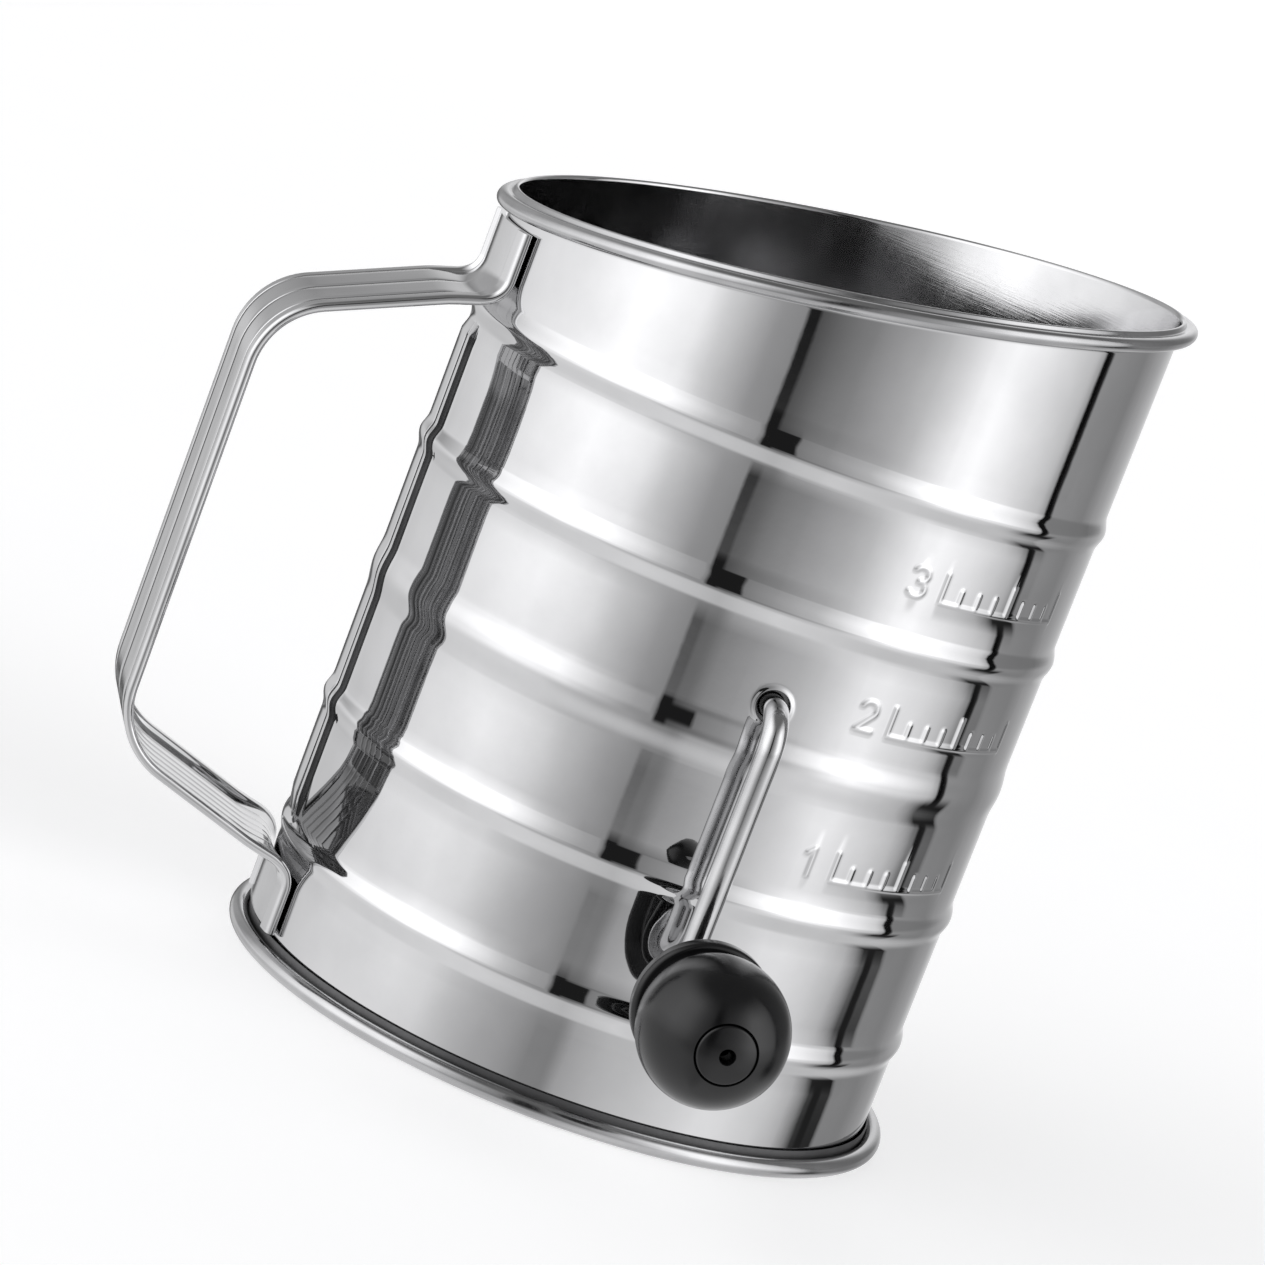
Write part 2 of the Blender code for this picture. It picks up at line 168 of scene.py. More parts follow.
# Handle
STRIP_DEPTH = 1.6
STRIP_SHEET = 0.7
STRIP_HALF = HANDLE_HIGH.y
GRIP_X = HANDLE_LOW.x + STRIP_DEPTH / 2
LIP_WIDTH = 3.6
GROOVE_DEPTH = 0.32
GROOVE_HALF = 0.55
SEATED_REACH = 7.0
INNER_LINES = (0.0, 3.4, 6.9)
INNER_LINE_WIDTH = 0.42
INNER_LINE_HEIGHT = 0.17
UPPER_ARM_SLOPE = 0.42
LOWER_ARM_SLOPE = 0.36
UPPER_ARM_WALL_Z = 113.0
LOWER_ARM_WALL_Z = 15.4
GRIP_CORNER_R = 13.0
LEG_CORNER_R = 5.0

# Screen
SCREEN_R = 49.3
CLOTH_PITCH = 1.85
CLOTH_WIRE_R = 0.24
RING_INNER_R = 50.9
RING_HEIGHT = 1.5

# Crank, agitator and what is on the rod
ARM_Y = -61.3
SHAFT_BEND_R = 6.0
PIN_BEND_R = 4.5
AGITATOR_R = 47.5
AGITATOR_WIRE_R = 0.9
AGITATOR_WIRES = 4
AGITATOR_FIRST_ANGLE = 45.0
HUB_R = 6.0
HUB_OUTER_Y = 49.0
HUB_LENGTH = 4.0
WASHER_R = 5.0
WASHER_THICK = 0.8
WASHER_OUTER_Y = 52.8
NUT_R = 5.0
NUT_START_Y = 54.6
NUT_LENGTH = 1.8
NUT_TABS = 6
BORE_R = ROD_R + 0.02
STOP_WASHER_R = 4.0
RETAINER_R = 4.3
RETAINER_THICK = 1.0

# Knob, measured from the centre of the ball towards its nose
KNOB_R = 11.5
KNOB_BACK = -19.8
NECK_R = 5.5
FLANGE_R = 10.8
FLANGE_BACK = -11.0
FLANGE_FRONT = -8.0
SEAM_R = 9.0
KNOB_BORE_R = 2.35
POCKET_R = 4.7
POCKET_FLOOR = 4.0
PLUG_BACK = 7.4
PLUG_R = 4.52
PLUG_HOLE_R = 1.15


# ---------------------------------------------------------------- mesh helpers
def smoothstep(low, high, value):
    t = min(max((value - low) / (high - low), 0.0), 1.0)
    return t * t * (3.0 - 2.0 * t)


def arc(centre, radius, start, end, steps):
    """Points on a circle in two dimensions, from the start angle to the end one, in degrees."""
    angles = [math.radians(start + (end - start) * i / steps) for i in range(steps + 1)]
    return [(centre[0] + radius * math.cos(a), centre[1] + radius * math.sin(a)) for a in angles]


def rounded_path(corners, radii, steps, run_step=2.0):
    """The 2-D polyline through the corners, with an arc at each inner corner and points along runs."""
    marks = [Vector(corners[0])]
    for i, radius in enumerate(radii, start=1):
        corner = Vector(corners[i])
        back = (Vector(corners[i - 1]) - corner).normalized()
        ahead = (Vector(corners[i + 1]) - corner).normalized()
        half = back.angle(ahead) / 2
        centre = corner + (back + ahead).normalized() * radius / math.sin(half)
        first = corner + back * radius / math.tan(half)
        last = corner + ahead * radius / math.tan(half)
        swing = (first - centre).angle_signed(last - centre)
        for step in range(steps + 1):
            turn = Matrix.Rotation(-swing * step / steps, 2)
            marks.append(centre + turn @ (first - centre))
    marks.append(Vector(corners[-1]))
    path = [marks[0]]
    for one, two in zip(marks, marks[1:]):
        pieces = max(1, round((two - one).length / run_step))
        path += [one.lerp(two, k / pieces) for k in range(1, pieces + 1)]
    return path


def finish_mesh(name, vertices, faces, materials, body, nodes, face_material=None, sharp=None):
    """Makes an object from cup-frame millimetres, gives it smooth shading and hangs it on its body."""
    mesh = bpy.data.meshes.new(name)
    placed = [(CUP_AXIS.x + x * MM, CUP_AXIS.y + y * MM, z * MM) for x, y, z in vertices]
    mesh.from_pydata(placed, [], faces)
    for material in materials:
        mesh.materials.append(material)
    if face_material is not None:
        mesh.polygons.foreach_set("material_index", face_material)
    bm = bmesh.new()
    bm.from_mesh(mesh)
    bmesh.ops.recalc_face_normals(bm, faces=bm.faces)
    bm.to_mesh(mesh)
    bm.free()
    mesh.shade_smooth()
    if sharp is not None:
        mesh.set_sharp_from_angle(angle=math.radians(sharp))
    obj = bpy.data.objects.new(name, mesh)
    bpy.context.scene.collection.objects.link(obj)
    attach(obj, body)
    if nodes:
        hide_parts(*nodes)
    return obj


def ring_faces(first, second, count, closed=True):
    """Quads between two rings of the same number of vertices, given the index each ring starts at."""
    span = count if closed else count - 1
    nexts = [(i, (i + 1) % count) for i in range(span)]
    return [(first + i, first + j, second + j, second + i) for i, j in nexts]


def revolved(outline, segments, closed=True):
    """(vertices, faces) of an outline of (radius, height) points spun about Z."""
    vertices = []
    for radius, height in outline:
        for i in range(segments):
            a = math.tau * i / segments
            vertices.append((radius * math.cos(a), radius * math.sin(a), height))
    faces = []
    rows = len(outline)
    for row in range(rows if closed else rows - 1):
        faces += ring_faces(row * segments, (row + 1) % rows * segments, segments)
    return vertices, faces


def turned_about_y(outline, segments, place, closed=True):
    """A revolved outline whose heights run along -Y from the given place."""
    vertices, faces = revolved(outline, segments, closed)
    return [(place[0] + x, place[1] - z, place[2] + y) for x, y, z in vertices], faces


def lofted(sections):
    """(vertices, faces) of a closed body through sections with the same number of points."""
    count = len(sections[0])
    vertices = [tuple(point) for section in sections for point in section]
    faces = []
    for i in range(len(sections) - 1):
        faces += ring_faces(i * count, (i + 1) * count, count)
    faces.append(tuple(range(count)))
    faces.append(tuple(range((len(sections) - 1) * count, len(sections) * count)))
    return vertices, faces


def rod_sections(path, radius, sides, normal, end_round=0.0):
    """Circles of a round rod along a path in the plane of the given normal, with rounded ends."""
    sections = []
    last = len(path) - 1
    for i, point in enumerate(path):
        before = path[max(i - 1, 0)]
        after = path[min(i + 1, last)]
        along = (after - before).normalized()
        across = along.cross(normal)
        ring = [
            math.cos(math.tau * s / sides) * normal + math.sin(math.tau * s / sides) * across
            for s in range(sides)
        ]
        shape = [(0.0, radius)]
        if end_round and i in (0, last):
            shape = [(end_round * math.sin(a), radius - end_round * (1 - math.cos(a)))
                     for a in (math.radians(15.0 * k) for k in range(7))]
            shape = [(setback - end_round, r) for setback, r in shape]
            if i == 0:
                shape = [(-setback, r) for setback, r in reversed(shape)]
        for setback, r in shape:
            sections.append([point + along * setback + r * spoke for spoke in ring])
    return sections


def rounded_ring(inner, outer, low, high, edge, steps=4):
    """The closed outline of a flat ring whose four edges are rounded."""
    corners = [
        ((outer - edge, low + edge), -90.0),
        ((outer - edge, high - edge), 0.0),
        ((inner + edge, high - edge), 90.0),
        ((inner + edge, low + edge), 180.0),
    ]
    outline = []
    for centre, start in corners:
        outline += arc(centre, edge, start, start + 90.0, steps)
    return outline


# ---------------------------------------------------------------- materials
class Nodes:
    """A short way to add nodes to one material and join them up."""

    def __init__(self, name):
        self.material = bpy.data.materials.new(name)
        self.material.use_nodes = True
        self.tree = self.material.node_tree
        self.shader = self.tree.nodes["Principled BSDF"]

    def add(self, kind, **values):
        node = self.tree.nodes.new(kind)
        for key, value in values.items():
            if key in node.inputs:
                node.inputs[key].default_value = value
            else:
                setattr(node, key, value)
        return node

    def link(self, source, target):
        self.tree.links.new(source, target)

    def position(self, stretch=(1.0, 1.0, 1.0)):
        """The piece's own coordinates in millimetres, stretched along each axis."""
        place = self.add("ShaderNodeTexCoord")
        scale = self.add("ShaderNodeMapping")
        scale.inputs["Scale"].default_value = [s / MM for s in stretch]
        self.link(place.outputs["Object"], scale.inputs["Vector"])
        return scale.outputs["Vector"]

    def noise(self, place, size, detail=2.0, roughness=0.5):
        """Noise whose features are about the given size in the units of the coordinates."""
        node = self.add("ShaderNodeTexNoise")
        node.inputs["Scale"].default_value = 1.0 / size
        node.inputs["Detail"].default_value = detail
        node.inputs["Roughness"].default_value = roughness
        self.link(place, node.inputs["Vector"])
        return node.outputs["Fac"]

    def spread(self, value, low, high, start=0.35, end=0.65):
        """Maps a value that lies mostly between start and end to the range low to high."""
        node = self.add("ShaderNodeMapRange")
        node.inputs["From Min"].default_value = start
        node.inputs["From Max"].default_value = end
        node.inputs["To Min"].default_value = low
        node.inputs["To Max"].default_value = high
        self.link(value, node.inputs["Value"])
        return node.outputs["Result"]

    def mixed(self, fac, one, two):
        node = self.add("ShaderNodeMix", data_type="RGBA")
        node.inputs[6].default_value = (*one, 1.0)
        node.inputs[7].default_value = (*two, 1.0)
        self.link(fac, node.inputs["Factor"])
        return node.outputs[2]

    def added(self, one, two):
        node = self.add("ShaderNodeMath", operation="ADD")
        self.link(one, node.inputs[0])
        self.link(two, node.inputs[1])
        return node.outputs[0]

    def bumped(self, height, depth_mm, under=None):
        node = self.add("ShaderNodeBump")
        node.inputs["Strength"].default_value = 1.0
        node.inputs["Distance"].default_value = depth_mm * MM
        self.link(height, node.inputs["Height"])
        if under is not None:
            self.link(under, node.inputs["Normal"])
        return node.outputs["Normal"]


def steel(name, dark, light, rough, wave, grain, streak=None, tint=(1.0, 1.0, 1.0)):
    """Stainless steel. rough is a range, wave and grain are (size, depth) of its waviness and grain,
    streak, if given, is (stretch, depth) of the fine lines that rolling or drawing leaves, and tint
    is how far the clouds of dark and light are squeezed along each axis."""
    n = Nodes(name)
    n.shader.inputs["Metallic"].default_value = 1.0
    place = n.position()
    clouds = n.noise(n.position(tint), 14.0, 4.0)
    specks = n.noise(place, 0.9, 3.0, 0.7)
    n.link(n.mixed(n.spread(clouds, 0.0, 1.0), dark, light), n.shader.inputs["Base Color"])
    smudge = n.spread(clouds, rough[0], rough[1])
    fine = n.spread(specks, 0.0, (rough[1] - rough[0]) * 0.5)
    n.link(n.added(smudge, fine), n.shader.inputs["Roughness"])
    normal = n.bumped(n.noise(place, wave[0], 1.0), wave[1])
    normal = n.bumped(n.noise(place, grain[0], 2.0), grain[1], normal)
    if streak:
        lines = n.noise(n.position(streak[0]), 0.35, 3.0, 0.7)
        normal = n.bumped(lines, streak[1], normal)
    n.link(normal, n.shader.inputs["Normal"])
    return n.material


def black_plastic():
    """Moulded black plastic with a satin gloss, a faint grain and a few rubbed patches."""
    n = Nodes("black_plastic")
    n.shader.inputs["IOR"].default_value = 1.47
    place = n.position()
    rubbed = n.noise(place, 5.0, 5.0, 0.6)
    grain = n.noise(place, 0.5, 1.0)
    n.link(n.mixed(n.spread(rubbed, 0.0, 1.0), (0.0035, 0.0035, 0.0038), (0.006, 0.006, 0.0065)),
           n.shader.inputs["Base Color"])
    n.link(n.spread(rubbed, 0.15, 0.23), n.shader.inputs["Roughness"])
    normal = n.bumped(n.noise(place, 6.0, 1.0), 0.03)
    n.link(n.bumped(grain, 0.002, normal), n.shader.inputs["Normal"])
    return n.material


POLISHED = steel("polished_steel", (0.60, 0.60, 0.605), (0.65, 0.65, 0.655), (0.012, 0.032),
                 (24.0, 0.10), (2.6, 0.0035))
CUP_INSIDE = steel("cup_inside", (0.58, 0.58, 0.585), (0.66, 0.66, 0.665), (0.06, 0.10),
                   (18.0, 0.08), (2.0, 0.002), ((0.03, 0.03, 1.0), 0.005))
BEAD_STEEL = steel("bead_steel", (0.42, 0.42, 0.425), (0.52, 0.52, 0.525), (0.10, 0.18),
                   (12.0, 0.04), (0.7, 0.004))
# Dark rough steel put in the seam's creases, under the rim's roll and in the foot's channel: painted
# shade, not the steel's own colour
CREASE_SHADE_STEEL = steel("painted_crease_shade_steel", (0.10, 0.10, 0.102), (0.16, 0.16, 0.162), (0.4, 0.55),
                      (9.0, 0.03), (0.6, 0.006))
HANDLE_STEEL = steel("handle_steel", (0.56, 0.56, 0.565), (0.63, 0.63, 0.635), (0.05, 0.10),
                     (12.0, 0.05), (1.2, 0.002), ((0.02, 0.35, 0.02), 0.004))
# The grip's inner face, towards the cup, darkened in stretched clouds: painted shade
GRIP_SHADE_STEEL = steel("grip_inside_painted_shade", (0.10, 0.10, 0.102), (0.52, 0.52, 0.525), (0.10, 0.16),
                    (9.0, 0.04), (2.4, 0.003), tint=(1.0, 7.0, 0.12))
ROD_STEEL = steel("rod_steel", (0.50, 0.50, 0.505), (0.60, 0.60, 0.605), (0.08, 0.15),
                  (9.0, 0.02), (0.7, 0.003), ((1.0, 0.08, 0.08), 0.003))
STAMPED_STEEL = steel("stamped_steel", (0.50, 0.50, 0.505), (0.60, 0.60, 0.605), (0.20, 0.30),
                      (6.0, 0.01), (0.5, 0.004))
CLOTH_STEEL = steel("cloth_steel", (0.46, 0.46, 0.465), (0.58, 0.58, 0.585), (0.25, 0.36),
                    (5.0, 0.01), (0.4, 0.003))
WASHER_STEEL = steel("washer_steel", (0.16, 0.16, 0.162), (0.24, 0.24, 0.243), (0.3, 0.42),
                     (5.0, 0.01), (0.5, 0.004))
BLACK = black_plastic()


# ---------------------------------------------------------------- cup
def rib_height(z):
    """How far the ribs push the wall out at height z."""
    out = 0.0
    for i in range(RIB_COUNT):
        half = (SEAT_RIB_WIDTH if i == SEAT_RIB else RIB_WIDTH) / 2
        height = SEAT_RIB_HEIGHT if i == SEAT_RIB else RIB_HEIGHT
        share = abs(z - RIB_FIRST_Z - RIB_PITCH * i) / half
        if share < 1.0:
            out += height * 0.5 * (1.0 + math.cos(math.pi * share))
    return out


def seam_relief(along, z):
    """The folded lock seam behind the handle, given the distance round the wall from its middle.

    It is pressed flat where the legs of the handle cover it.
    """
    if abs(along) > SEAM_HALF + SEAM_EDGE:
        return 0.0
    flat = smoothstep(SEAM_LOW, SEAM_LOW + 3.0, z) * (1.0 - smoothstep(SEAM_HIGH - 3.0, SEAM_HIGH, z))
    height = SEAM_HEIGHT * (1.0 - smoothstep(SEAM_HALF - SEAM_EDGE, SEAM_HALF + SEAM_EDGE, abs(along)))
    height -= SEAM_GROOVE * math.exp(-(((along - SEAM_GROOVE_AT) / 0.4) ** 2))
    return height * flat


def in_seam_shade(along, z):
    """Whether this place lies in one of the creases of the lock seam, where shade is painted in dark
    steel.
    """
    from_edge = abs(abs(along) - SEAM_HALF - 0.1)
    from_groove = abs(along - SEAM_GROOVE_AT)
    return min(from_edge, from_groove) < SEAM_SHADE_HALF and SEAM_LOW + 2.0 < z < SEAM_HIGH - 2.0


def mouth_lift(x, z):
    """How far the slanted mouth raises a point of the cup above the last rib."""
    share = (z - LAST_RIB_TOP) / (PLAIN_TOP_Z - LAST_RIB_TOP)
    return x * math.tan(MOUTH_TILT) * min(max(share, 0.0), 1.0)


def numeral_strokes(number):
    """The polylines of a plain numeral in a box one unit wide and one high, from its lower left."""
    if number == 1:
        return [[(0.2, 0.78), (0.55, 1.0), (0.55, 0.0)]]
    if number == 2:
        bowl = arc((0.5, 0.72), 0.28, 160.0, -35.0, 8)
        return [[(0.5 + (x - 0.5) * 1.5, z) for x, z in bowl] + [(0.08, 0.0), (0.95, 0.0)]]
    upper = arc((0.45, 0.75), 0.25, 150.0, -90.0, 8)
    lower = arc((0.45, 0.27), 0.27, 90.0, -150.0, 9)
    return [[(0.45 + (x - 0.45) * 1.6, z) for x, z in upper + lower]]


def mark_strokes():
    """Every stroke of the level marks as a pair of (distance round the wall, height) points."""
    strokes = []
    for number, centre in MARK_LEVELS:
        start = math.radians(MARK_ANGLE) * CUP_R
        low = centre - MARK_HEIGHT / 2
        for line in numeral_strokes(number):
            points = [(start + x * NUMERAL_WIDTH, low + z * MARK_HEIGHT) for x, z in line]
            strokes += list(zip(points, points[1:]))
        first = start + SCALE_START
        strokes.append(((first, low), (first + SCALE_LENGTH, low)))
        for tick in range(SCALE_TICKS):
            at = first + SCALE_LENGTH * tick / (SCALE_TICKS - 1)
            reach = MARK_HEIGHT if tick % 4 == 0 else 0.55 * MARK_HEIGHT
            strokes.append(((at, low), (at, low + reach)))
    return strokes


STROKES = mark_strokes()


def mark_relief(along, z):
    """How far a level mark stands out of the wall at this place."""
    if not any(abs(z - level) < MARK_HEIGHT for _, level in MARK_LEVELS):
        return 0.0
    nearest = MARK_STROKE
    for (ax, az), (bx, bz) in STROKES:
        if abs(z - az) > MARK_HEIGHT + MARK_STROKE:
            continue
        dx = bx - ax
        dz = bz - az
        t = ((along - ax) * dx + (z - az) * dz) / (dx * dx + dz * dz)
        t = min(max(t, 0.0), 1.0)
        nearest = min(nearest, math.hypot(along - ax - t * dx, z - az - t * dz))
    return MARK_RELIEF * 0.5 * (1.0 + math.cos(math.pi * nearest / MARK_STROKE))


def hole_lip(along, z):
    """How far the turned rim of a shaft hole stands out of the wall at this place."""
    beyond = math.hypot(along, z - SHAFT_Z) - HOLE_R
    return HOLE_LIP * (1.0 - smoothstep(0.0, HOLE_LIP_WIDTH, beyond))


def wall_point(angle, z, outside):
    """A point of the wall at an angle in degrees and a height, on its outer or its inner face."""
    a = math.radians(angle)
    along = a * CUP_R
    back = (math.remainder(a - math.pi, math.tau)) * CUP_R
    radius = CUP_R + rib_height(z)
    radius += hole_lip(along, z) + hole_lip(back, z)
    radius += mark_relief(along, z)
    if outside:
        radius += seam_relief((a - math.radians(SEAM_ANGLE)) * CUP_R, z)
    else:
        radius -= SHEET
    x = radius * math.sin(a)
    return (x, -radius * math.cos(a), z + mouth_lift(x, z))


def steps_between(low, high, size):
    count = max(1, math.ceil((high - low) / size - 1e-6))
    return [low + (high - low) * i / count for i in range(count)]


def wall_angles():
    """Angles round the wall: close together over the marks, and with edges at the hole patches."""
    mark_end = MARK_ANGLE + math.degrees((SCALE_START + SCALE_LENGTH) / CUP_R)
    patch = HOLE_PATCH_ANGLE
    seam = math.degrees((SEAM_HALF + 2.0 * SEAM_EDGE) / CUP_R)
    zones = [
        (-180.0, HOLE_ANGLE_STEP),
        (-180.0 + patch, ANGLE_STEP),
        (SEAM_ANGLE - seam, SEAM_ANGLE_STEP),
        (SEAM_ANGLE + seam, ANGLE_STEP),
        (-patch, HOLE_ANGLE_STEP),
        (patch, BESIDE_MARKS_ANGLE_STEP),
        (MARK_ANGLE - MARK_ANGLE_MARGIN, MARK_ANGLE_STEP),
        (mark_end + 1.0, ANGLE_STEP),
        (180.0 - patch, HOLE_ANGLE_STEP),
        (180.0, 0.0),
    ]
    angles = []
    for (low, step), (high, _) in zip(zones, zones[1:]):
        angles += steps_between(low, high, step)
    return angles


def wall_heights(fine):
    """Heights up the wall, with rows at the edges of the ribs, of the marks and of the hole patch.

    The rows inside the hole patch are the same for both faces of the wall.
    """
    patch = (SHAFT_Z - HOLE_PATCH_HALF, SHAFT_Z + HOLE_PATCH_HALF)
    zones = [(*patch, HOLE_ROW_STEP)]
    for i in range(RIB_COUNT):
        centre = RIB_FIRST_Z + RIB_PITCH * i
        half = (SEAT_RIB_WIDTH if i == SEAT_RIB else RIB_WIDTH) / 2
        zones.append((centre - half, centre + half, RIB_ROW_STEP))
    for _, level in MARK_LEVELS:
        reach = MARK_HEIGHT / 2 + MARK_STROKE
        zones.append((level - reach, level + reach, MARK_ROW_STEP))
    edges = {CUP_BOTTOM, LAST_RIB_TOP, PLAIN_TOP_Z}
    for low, high, _ in zones:
        edges |= {low, high}
    edges = sorted(edges)
    heights = []
    for low, high in zip(edges, edges[1:]):
        middle = (low + high) / 2
        size = min((size for first, last, size in zones if first < middle < last), default=ROW_STEP)
        if not fine and not patch[0] < middle < patch[1]:
            size = max(size, INNER_ROW_STEP)
        heights += steps_between(low, high, size)
    heights.append(edges[-1])
    return heights


def in_patch(angle, z):
    """Whether a grid cell with this middle lies in the patch round either shaft hole."""
    near_front = abs(angle) < HOLE_PATCH_ANGLE
    near_back = abs(angle) > 180.0 - HOLE_PATCH_ANGLE
    return (near_front or near_back) and abs(z - SHAFT_Z) < HOLE_PATCH_HALF


def hole_rings(boundary, centre_angle, outside, vertices, faces):
    """Fills the patch round one hole with rings from its square boundary in to the hole's edge.

    boundary lists (vertex, distance round the wall from the hole's centre, height).
    """
    ring = [index for index, _, _ in boundary]
    for step in range(1, HOLE_RINGS + 1):
        share = 1.0 - (1.0 - step / HOLE_RINGS) ** 1.5
        start = len(vertices)
        for _, along, z in boundary:
            reach = math.hypot(along, z - SHAFT_Z)
            wanted = HOLE_R + (reach - HOLE_R) * (1.0 - share)
            angle = centre_angle + math.degrees(along * wanted / reach / CUP_R)
            vertices.append(wall_point(angle, SHAFT_Z + (z - SHAFT_Z) * wanted / reach, outside))
        fresh = list(range(start, len(vertices)))
        count = len(ring)
        for i in range(count):
            j = (i + 1) % count
            faces.append((ring[i], ring[j], fresh[j], fresh[i]))
        ring = fresh
    return ring


def wall_skin(outside, angles, vertices, faces, creases):
    """One face of the wall. Returns its bottom ring, its top ring and the edges of both holes.

    The faces in the creases of the lock seam, where shade is painted, are added to creases.
    """
    heights = wall_heights(outside)
    columns = len(angles)
    start = len(vertices)
    for z in heights:
        vertices.extend(wall_point(angle, z, outside) for angle in angles)
    widths = [angles[(c + 1) % columns] + (360.0 if c == columns - 1 else 0.0) for c in range(columns)]
    for row in range(len(heights) - 1):
        middle = (heights[row] + heights[row + 1]) / 2
        for c in range(columns):
            if in_patch(math.remainder((angles[c] + widths[c]) / 2, 360.0), middle):
                continue
            d = (c + 1) % columns
            low = start + row * columns
            faces.append((low + c, low + d, low + columns + d, low + columns + c))
            from_seam = math.radians((angles[c] + widths[c]) / 2 - SEAM_ANGLE) * CUP_R
            if outside and in_seam_shade(from_seam, middle):
                creases.append(len(faces) - 1)
    tight = 1e-6
    rows = [r for r, z in enumerate(heights) if abs(z - SHAFT_Z) < HOLE_PATCH_HALF + tight]
    edges = []
    for centre in (0.0, 180.0):
        offsets = [(math.remainder(a - centre, 360.0), c) for c, a in enumerate(angles)]
        near = sorted((o, c) for o, c in offsets if abs(o) < HOLE_PATCH_ANGLE + tight)
        loop = [(rows[0], o, c) for o, c in near]
        loop += [(r, *near[-1]) for r in rows[1:]]
        loop += [(rows[-1], o, c) for o, c in reversed(near[:-1])]
        loop += [(r, *near[0]) for r in reversed(rows[1:-1])]
        boundary = [
            (start + r * columns + c, math.radians(o) * CUP_R, heights[r]) for r, o, c in loop
        ]
        edges.append(hole_rings(boundary, centre, outside, vertices, faces))
    last = start + (len(heights) - 1) * columns
    return start, last, edges


def stitch(one, two, faces):
    count = len(one)
    for i in range(count):
        j = (i + 1) % count
        faces.append((one[i], one[j], two[j], two[i]))


def curl_outline():
    """The rolled rim as three outlines of (radius, height) points: the neck under the roll, the
    roll with its sharp inner ridge, and the top of the wall's inner face."""
    neck = [(CUP_R, NECK_Z - 0.4), (CUP_R, NECK_Z - 0.1), (CUP_R + 0.02, NECK_Z)]
    roll = arc((CURL_CENTRE_R, MOUTH_Z - CURL_R), CURL_R, -150.0, 112.0, 22)
    roll += arc((CUP_R + 0.72, MOUTH_Z + 0.2), 0.3, -65.0, -165.0, 4)
    roll += arc((RIDGE_R + 0.05, MOUTH_Z + RIM_RIDGE - 0.33), 0.33, 15.0, 120.0, 5)
    inner = [(CUP_R - SHEET, MOUTH_Z + drop) for drop in (0.32, 0.05, -3.0)]
    return neck, roll, inner


def build_cup():
    angles = wall_angles()
    columns = len(angles)
    vertices = []
    faces = []
    creases = []
    outer_low, outer_top, outer_holes = wall_skin(True, angles, vertices, faces, creases)
    neck, roll, inner = curl_outline()
    outline = neck + roll + inner
    rim = len(vertices)
    for radius, z in outline:
        for angle in angles:
            a = math.radians(angle)
            x = radius * math.sin(a)
            vertices.append((x, -radius * math.cos(a), z + mouth_lift(x, z)))
    wall_faces = len(faces)
    faces += ring_faces(outer_top, rim, columns)
    for row in range(len(outline) - 1):
        faces += ring_faces(rim + row * columns, rim + (row + 1) * columns, columns)
    neck_faces = wall_faces + len(neck) * columns
    outside_faces = neck_faces + len(roll) * columns
    inner_low, inner_top, inner_holes = wall_skin(False, angles, vertices, faces, creases)
    faces += ring_faces(rim + (len(outline) - 1) * columns, inner_top, columns)
    inside_faces = len(faces)
    faces += ring_faces(outer_low, inner_low, columns)
    for one, two in zip(outer_holes, inner_holes):
        if len(one) != len(two):
            raise ValueError("the hole patches of the two faces of the wall differ")
        stitch(one, two, faces)
    looks = [0] * neck_faces + [2] * (outside_faces - neck_faces)
    looks += [1] * (inside_faces - outside_faces)
    looks += [0] * (len(faces) - inside_faces)
    # Painted shade: the seam's creases and the underside of the roll get the dark steel
    under_roll = range(neck_faces, neck_faces + 2 * columns)
    for face in [*creases, *under_roll]:
        looks[face] = 3
    finish_mesh("cup_shell", vertices, faces, [POLISHED, CUP_INSIDE, BEAD_STEEL, CREASE_SHADE_STEEL], "body",
                ["body_shell"], looks, sharp=60.0)


def build_base_ring():
    """The foot: a round bead with a narrow, deep channel between it and the skirt round the cup, with
    shade painted into the channel as dark steel.
    """
    skirt_in = CUP_R + GAP
    bead = (BASE_R - BEAD_R, BEAD_R)
    outline = [(FLANGE_IN_R, 0.12), (FLANGE_IN_R + 0.12, 0.0), (53.0, 0.0), (54.5, 0.0)]
    outline += arc(bead, BEAD_R, -90.0, 165.0, 30)
    channel_start = len(outline)
    outline += [(54.72, 1.55), (54.66, 1.5), (54.6, 1.55), (54.56, 2.2)]
    outline += arc((skirt_in + 0.14, BASE_TOP - 0.14), 0.14, 10.0, 90.0, 4)
    channel_end = len(outline)
    outline += [(skirt_in, BASE_TOP - 0.1), (skirt_in, 1.0), (skirt_in - 0.3, 0.62)]
    outline += [(FLANGE_IN_R + 0.1, FLANGE_THICK), (FLANGE_IN_R, FLANGE_THICK - 0.12)]
    segments = 288
    vertices, faces = revolved(outline, segments)
    rows = [row for row in range(len(outline)) for _ in range(segments)]
    # Painted shade: the channel's faces get the dark steel
    looks = [1 if channel_start - 2 <= row < channel_end else 0 for row in rows]
    finish_mesh("foot_ring", vertices, faces, [BEAD_STEEL, CREASE_SHADE_STEEL], "body", ["base_ring"],
                looks, sharp=50.0)


